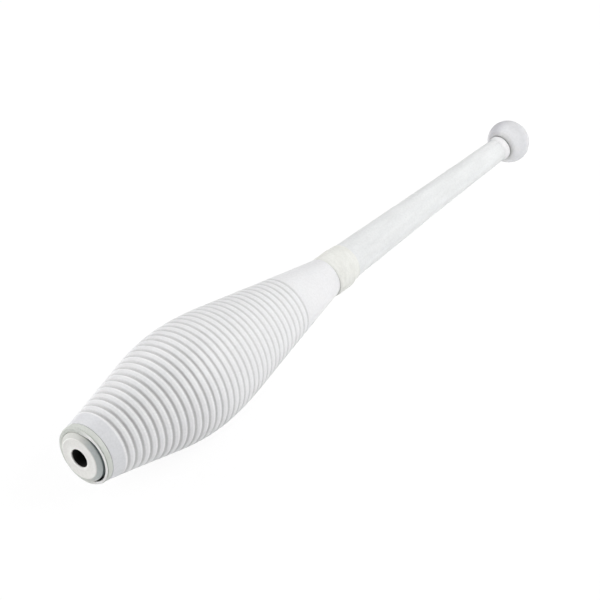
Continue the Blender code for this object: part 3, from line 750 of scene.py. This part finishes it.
def cross_cutter(at, outward, reach, depth, wide):
    """A tapered cross of two bars, to be cut out of a screw's head."""
    bm = bmesh.new()
    for turn in (0.0, math.pi / 2):
        top, bottom = [], []
        for x, z in ((-1, -1), (1, -1), (1, 1), (-1, 1)):
            for corners, length, width, drop in (
                (top, reach, wide, -0.5),
                (bottom, 0.35 * reach, 0.6 * wide, depth),
            ):
                spot = Vector((x * length, at - outward * drop, z * width / 2)) * MM
                spot.y = FACE_Y + spot.y
                corners.append(bm.verts.new(Matrix.Rotation(turn, 3, "Y") @ spot))
        for i in range(4):
            k = (i + 1) % 4
            bm.faces.new((top[i], top[k], bottom[k], bottom[i]))
        bm.faces.new(top)
        bm.faces.new(bottom)
    bmesh.ops.recalc_face_normals(bm, faces=bm.faces)
    return finish_mesh("cross", bm, ZINC)


def screw(node, seat, outward, head, root, crest, pitch, plain, length):
    """Pan-head wood screw with a helical thread and a cross recess.

    seat is the station under the head, and outward is -1 if the head faces -Y, 1 if it
    faces +Y. head is (radius, height), root and crest are radii, plain is the length
    of the shank without thread, and length runs from the seat to the tip.
    """
    radius, height = head
    points = [(height, 0.0)]
    for i in range(1, 10):
        a = math.radians(10 * i)
        points.append((height * (0.35 + 0.65 * math.cos(a)), radius * math.sin(a)))
    points += [(0.15, radius), (0.0, radius - 0.15), (0.0, root + 0.35), (-0.35, root)]
    steps = 12
    rows = int((length - plain) / pitch * steps)
    for i in range(rows):
        points.append((-plain - i * pitch / steps, root))
    points.append((-length, 0.0))
    tip = 3.2  # length over which the screw tapers to its point

    def threaded(u, r, a):
        depth = -u - plain
        if depth <= 0 or r < 1e-6:
            return seat + outward * u, r
        turn = (u / pitch + outward * a / math.tau) % 1.0
        ridge = max(0.0, 1 - abs(turn - 0.5) / 0.3)
        run_in = smoothstep(0.0, 1.5 * pitch, depth)
        taper = min(1.0, (length + u) / tip + 0.08)
        return seat + outward * u, (r + (crest - root) * ridge * run_in) * taper

    piece = lathe(node + "_skin", points, ZINC, 48, closed=False, warp=threaded, sharp=50)
    cross = cross_cutter(seat + outward * height, outward, 0.62 * radius, 0.55 * height, 0.9)
    boolean = piece.modifiers.new("cross", "BOOLEAN")
    boolean.object = cross
    boolean.solver = "EXACT"
    boolean.use_self = True  # the cross's two bars meet
    graph = bpy.context.evaluated_depsgraph_get()
    mesh = bpy.data.meshes.new_from_object(piece.evaluated_get(graph))
    piece.modifiers.clear()
    piece.data = mesh
    bpy.data.objects.remove(cross)
    return stands_for(piece, node, "zinc_plated_steel", node)


body_shell()
end_ring()
end_cap()
end_hub()
handle_wrap()
neck_tape()
knob_tape()
knob()
washer("end_washer", station=16.6, thick=1.1, inner=2.4, outer=6.1)
screw(
    "end_screw", seat=16.3, outward=-1, head=(4.4, 2.9),
    root=1.6, crest=2.0, pitch=2.0, plain=7.0, length=38.7,
)
washer("knob_washer", station=509.3, thick=1.0, inner=2.0, outer=4.0)
screw(
    "knob_screw", seat=510.6, outward=1, head=(3.6, 2.5),
    root=1.4, crest=1.7, pitch=1.8, plain=7.0, length=27.6,
)

# Hidden pieces keep their CAD meshes and get a procedural look.
for node, mat in (
    ("core_dowel", BEECH),
    ("handle_tube", TUBE),
    ("handle_padding", FOAM),
    ("neck_bush", BEECH),
    ("neck_tack_1", STEEL),
    ("neck_tack_2", STEEL),
    ("neck_tack_3", STEEL),
    ("neck_tack_4", STEEL),
):
    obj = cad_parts[node]
    for slot in obj.material_slots:
        slot.material = mat


# ================================================================ studio
CAMERA_AZIMUTH = -52.15  # of the camera seen from the club, degrees from +X towards +Y
DISTANCE = 1.5  # of each softbox from the club's middle
FLOOR_GLOW = 1.03
FLOOR_GLOW_SHARE = 0.88  # of what the camera sees of the floor
FLOOR_GAP = 0.001  # between floor and club
LENS = 126.0
SHIFT = 0.5 / 600  # half a pixel of the photo
CAMERA_PLACE = (0.7707, FACE_Y - 0.7322, 0.9047)
CAMERA_TILT = 53.652
CAMERA_TURN = 38.586


def make_world():
    """Nothing but white where the camera looks past the floor; no light of its own."""
    world = bpy.data.worlds.new("studio")
    world.use_nodes = True
    tree = world.node_tree
    background = tree.nodes["Background"]
    path = tree.nodes.new("ShaderNodeLightPath")
    background.inputs["Color"].default_value = (1.0, 1.0, 1.0, 1.0)
    tree.links.new(path.outputs["Is Camera Ray"], background.inputs["Strength"])
    bpy.context.scene.world = world


def make_floor():
    """A pale floor. The camera sees it mostly washed out by the backdrop's white."""
    bm = bmesh.new()
    bmesh.ops.create_grid(bm, x_segments=1, y_segments=1, size=30.0)
    n = Nodes("floor_look")
    n.set(Base_Color=(0.92, 0.92, 0.92, 1.0), Roughness=0.9)
    n.shader.inputs["Specular IOR Level"].default_value = 0.0
    glow = n.add("Emission")
    glow.inputs["Strength"].default_value = FLOOR_GLOW
    mix = n.add("MixShader")
    path = n.add("LightPath")
    share = n.add("Math", operation="MULTIPLY")
    share.inputs[1].default_value = FLOOR_GLOW_SHARE
    n.link(path.outputs["Is Camera Ray"], share.inputs[0])
    n.link(share.outputs["Value"], mix.inputs["Fac"])
    n.link(n.shader.outputs["BSDF"], mix.inputs[1])
    n.link(glow.outputs["Emission"], mix.inputs[2])
    n.link(mix.outputs["Shader"], n.tree.nodes["Material Output"].inputs["Surface"])
    floor = finish_mesh("floor", bm, n.mat)
    floor.location.z = CAD_LOW[2] - FLOOR_GAP


def softbox(name, turn, height, wide, tall, radiance):
    """A rectangular softbox aimed at the club's middle.

    turn is its angle round the club from the camera, height its elevation, wide and
    tall the angles it fills, all in degrees.
    """
    a, e = math.radians(CAMERA_AZIMUTH + turn), math.radians(height)
    towards = Vector((math.cos(a) * math.cos(e), math.sin(a) * math.cos(e), math.sin(e)))
    data = bpy.data.lights.new(name, "AREA")
    data.shape = "RECTANGLE"
    data.size = 2 * DISTANCE * math.tan(math.radians(wide / 2))
    data.size_y = 2 * DISTANCE * math.tan(math.radians(tall / 2))
    data.energy = radiance * math.pi * data.size * data.size_y
    light = bpy.data.objects.new(name, data)
    light.location = towards * DISTANCE
    light.rotation_euler = towards.to_track_quat("Z", "Y").to_euler()
    light.visible_camera = False
    bpy.context.scene.collection.objects.link(light)


def make_camera():
    data = bpy.data.cameras.new("camera")
    data.sensor_width = 36.0
    data.lens = LENS
    data.shift_x = -SHIFT
    data.shift_y = SHIFT
    data.clip_start = 0.05
    data.clip_end = 100.0
    camera = bpy.data.objects.new("camera", data)
    camera.location = CAMERA_PLACE
    camera.rotation_euler = (math.radians(CAMERA_TILT), 0.0, math.radians(CAMERA_TURN))
    bpy.context.scene.collection.objects.link(camera)
    bpy.context.scene.camera = camera


bpy.context.scene.view_settings.view_transform = "Standard"
make_world()
make_floor()
softbox("right_softbox", turn=92, height=45, wide=45, tall=30, radiance=4.85)
softbox("right_low_softbox", turn=60, height=25, wide=40, tall=30, radiance=2.32)
softbox("left_softbox", turn=275, height=12.5, wide=40, tall=25, radiance=4.38)
softbox("left_high_softbox", turn=275, height=40, wide=40, tall=30, radiance=2.57)
softbox("back_softbox", turn=180, height=42.5, wide=80, tall=25, radiance=1.42)
softbox("front_softbox", turn=0, height=62, wide=60, tall=40, radiance=0.22)
softbox("top_softbox", turn=0, height=88, wide=50, tall=50, radiance=0.53)
make_camera()
